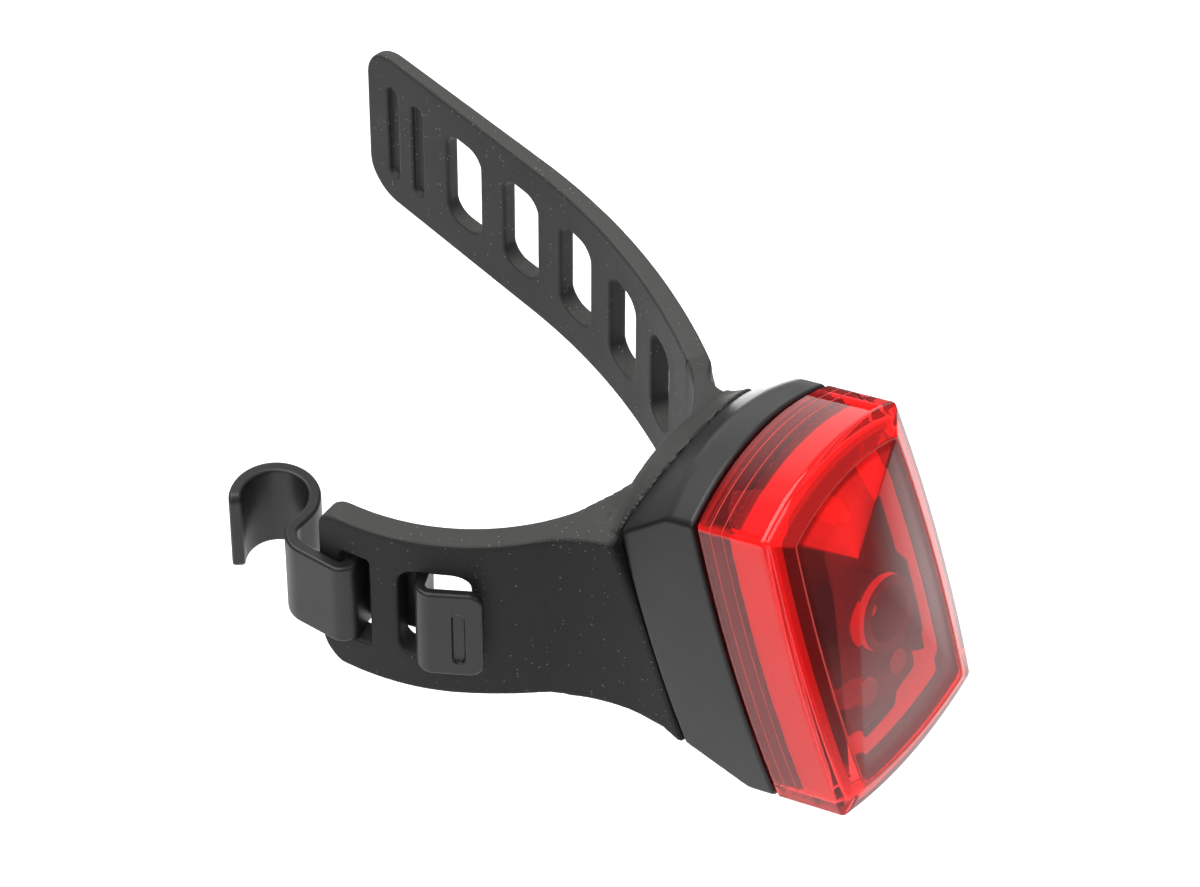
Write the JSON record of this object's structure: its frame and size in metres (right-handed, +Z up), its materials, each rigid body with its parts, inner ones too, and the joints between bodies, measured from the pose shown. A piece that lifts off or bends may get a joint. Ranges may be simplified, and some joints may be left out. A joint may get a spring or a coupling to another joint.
{
  "type": "bicycle rear light",
  "caption": "Red bicycle rear light with a faceted lens, a black case and a slotted rubber strap that wraps a seat post and hangs in an open hook clip.",
  "frame": {"origin": "on the seat post's axis, at the middle of the strap's width", "axes": "+Z up along the seat post, -Y towards the light's front, +X towards the long arm"},
  "size_m": [0.067, 0.1026, 0.0468],
  "materials": {
    "lens_red": "glossy translucent red",
    "case_black": "satin black",
    "strap_rubber": "matte dark grey, a little dusty",
    "clip_black": "satin black",
    "frame_pale": "matte",
    "led_clear": "clear resin",
    "board_brown": "lacquered",
    "chip_black": "matte",
    "can_metal": "bright",
    "switch_grey": "matte",
    "plunger_red": "matte",
    "cell_steel": "brushed",
    "contact_brass": "plain",
    "seal_rubber": "matte",
    "screw_steel": "zinc-plated",
    "plate_steel": "plain"
  },
  "bodies": {
    "head": {"housing": "case_black", "strap_saddle": "strap_rubber", "light_frame": "frame_pale", "lamp_cup": "frame_pale", "main_led": "led_clear", "side_leds": "led_clear", "circuit_board": "board_brown", "control_chip": "chip_black", "board_resistors": "chip_black", "board_capacitor": "can_metal", "press_switch": "switch_grey", "battery_tray": "case_black", "coin_cell_1": "cell_steel", "coin_cell_2": "cell_steel", "positive_contact": "contact_brass", "negative_contact": "contact_brass", "case_seal": "seal_rubber", "board_screws": "screw_steel", "strap_plate": "plate_steel", "strap_screws": "screw_steel"},
    "lens": {"lens": "lens_red"},
    "plunger": {"switch_plunger": "plunger_red"},
    "short_arm": {"strap_short_arm": "strap_rubber"},
    "clip": {"hook_clip": "clip_black"},
    "long_arm_1": {"strap_long_arm_1": "strap_rubber"},
    "long_arm_2": {"strap_long_arm_2": "strap_rubber"},
    "long_arm_3": {"strap_long_arm_3": "strap_rubber"},
    "long_arm_4": {"strap_long_arm_4": "strap_rubber"},
    "long_arm_5": {"strap_long_arm_5": "strap_rubber"}
  },
  "joints": [
    {"name": "lens_press", "type": "slide", "parent": "head", "child": "lens", "axis": [0, 0.9542, -0.299], "range_m": [0, 0.0005], "stiffness_N_per_m": 800, "springref_m": -0.002},
    {"name": "plunger_press", "type": "slide", "parent": "head", "child": "plunger", "axis": [0, 0.9542, -0.299], "range_m": [0, 0.0005]},
    {"name": "short_arm_flex", "type": "hinge", "parent": "head", "child": "short_arm", "pos_m": [-0.01967, -0.00929, 0], "axis": [0, 0, -1], "range_deg": [-8, 15], "stiffness_Nm_per_rad": 0.03},
    {"name": "clip_swing", "type": "hinge", "parent": "short_arm", "child": "clip", "pos_m": [-0.02706, 0.0033, 0], "axis": [0, 0, 1], "range_deg": [0, 4]},
    {"name": "long_arm_flex_1", "type": "hinge", "parent": "head", "child": "long_arm_1", "pos_m": [0.01551, -0.00791, 0], "axis": [0, 0, 1], "range_deg": [-6, 17], "stiffness_Nm_per_rad": 0.02},
    {"name": "long_arm_flex_2", "type": "hinge", "parent": "long_arm_1", "child": "long_arm_2", "pos_m": [0.02103, 0.00103, 0], "axis": [0, 0, 1], "range_deg": [-6, 17]},
    {"name": "long_arm_flex_3", "type": "hinge", "parent": "long_arm_2", "child": "long_arm_3", "pos_m": [0.02526, 0.01036, 0], "axis": [0, 0, 1], "range_deg": [-6, 17]},
    {"name": "long_arm_flex_4", "type": "hinge", "parent": "long_arm_3", "child": "long_arm_4", "pos_m": [0.02829, 0.02014, 0], "axis": [0, 0, 1], "range_deg": [-6, 17]},
    {"name": "long_arm_flex_5", "type": "hinge", "parent": "long_arm_4", "child": "long_arm_5", "pos_m": [0.03038, 0.03006, 0], "axis": [0, 0, 1], "range_deg": [-6, 17]}
  ],
  "couplings": [
    {"joint": "plunger_press", "follows": "lens_press", "ratio": 1},
    {"joint": "long_arm_flex_2", "follows": "long_arm_flex_1", "ratio": 1},
    {"joint": "long_arm_flex_3", "follows": "long_arm_flex_1", "ratio": 1},
    {"joint": "long_arm_flex_4", "follows": "long_arm_flex_1", "ratio": 1},
    {"joint": "long_arm_flex_5", "follows": "long_arm_flex_1", "ratio": 1}
  ]
}
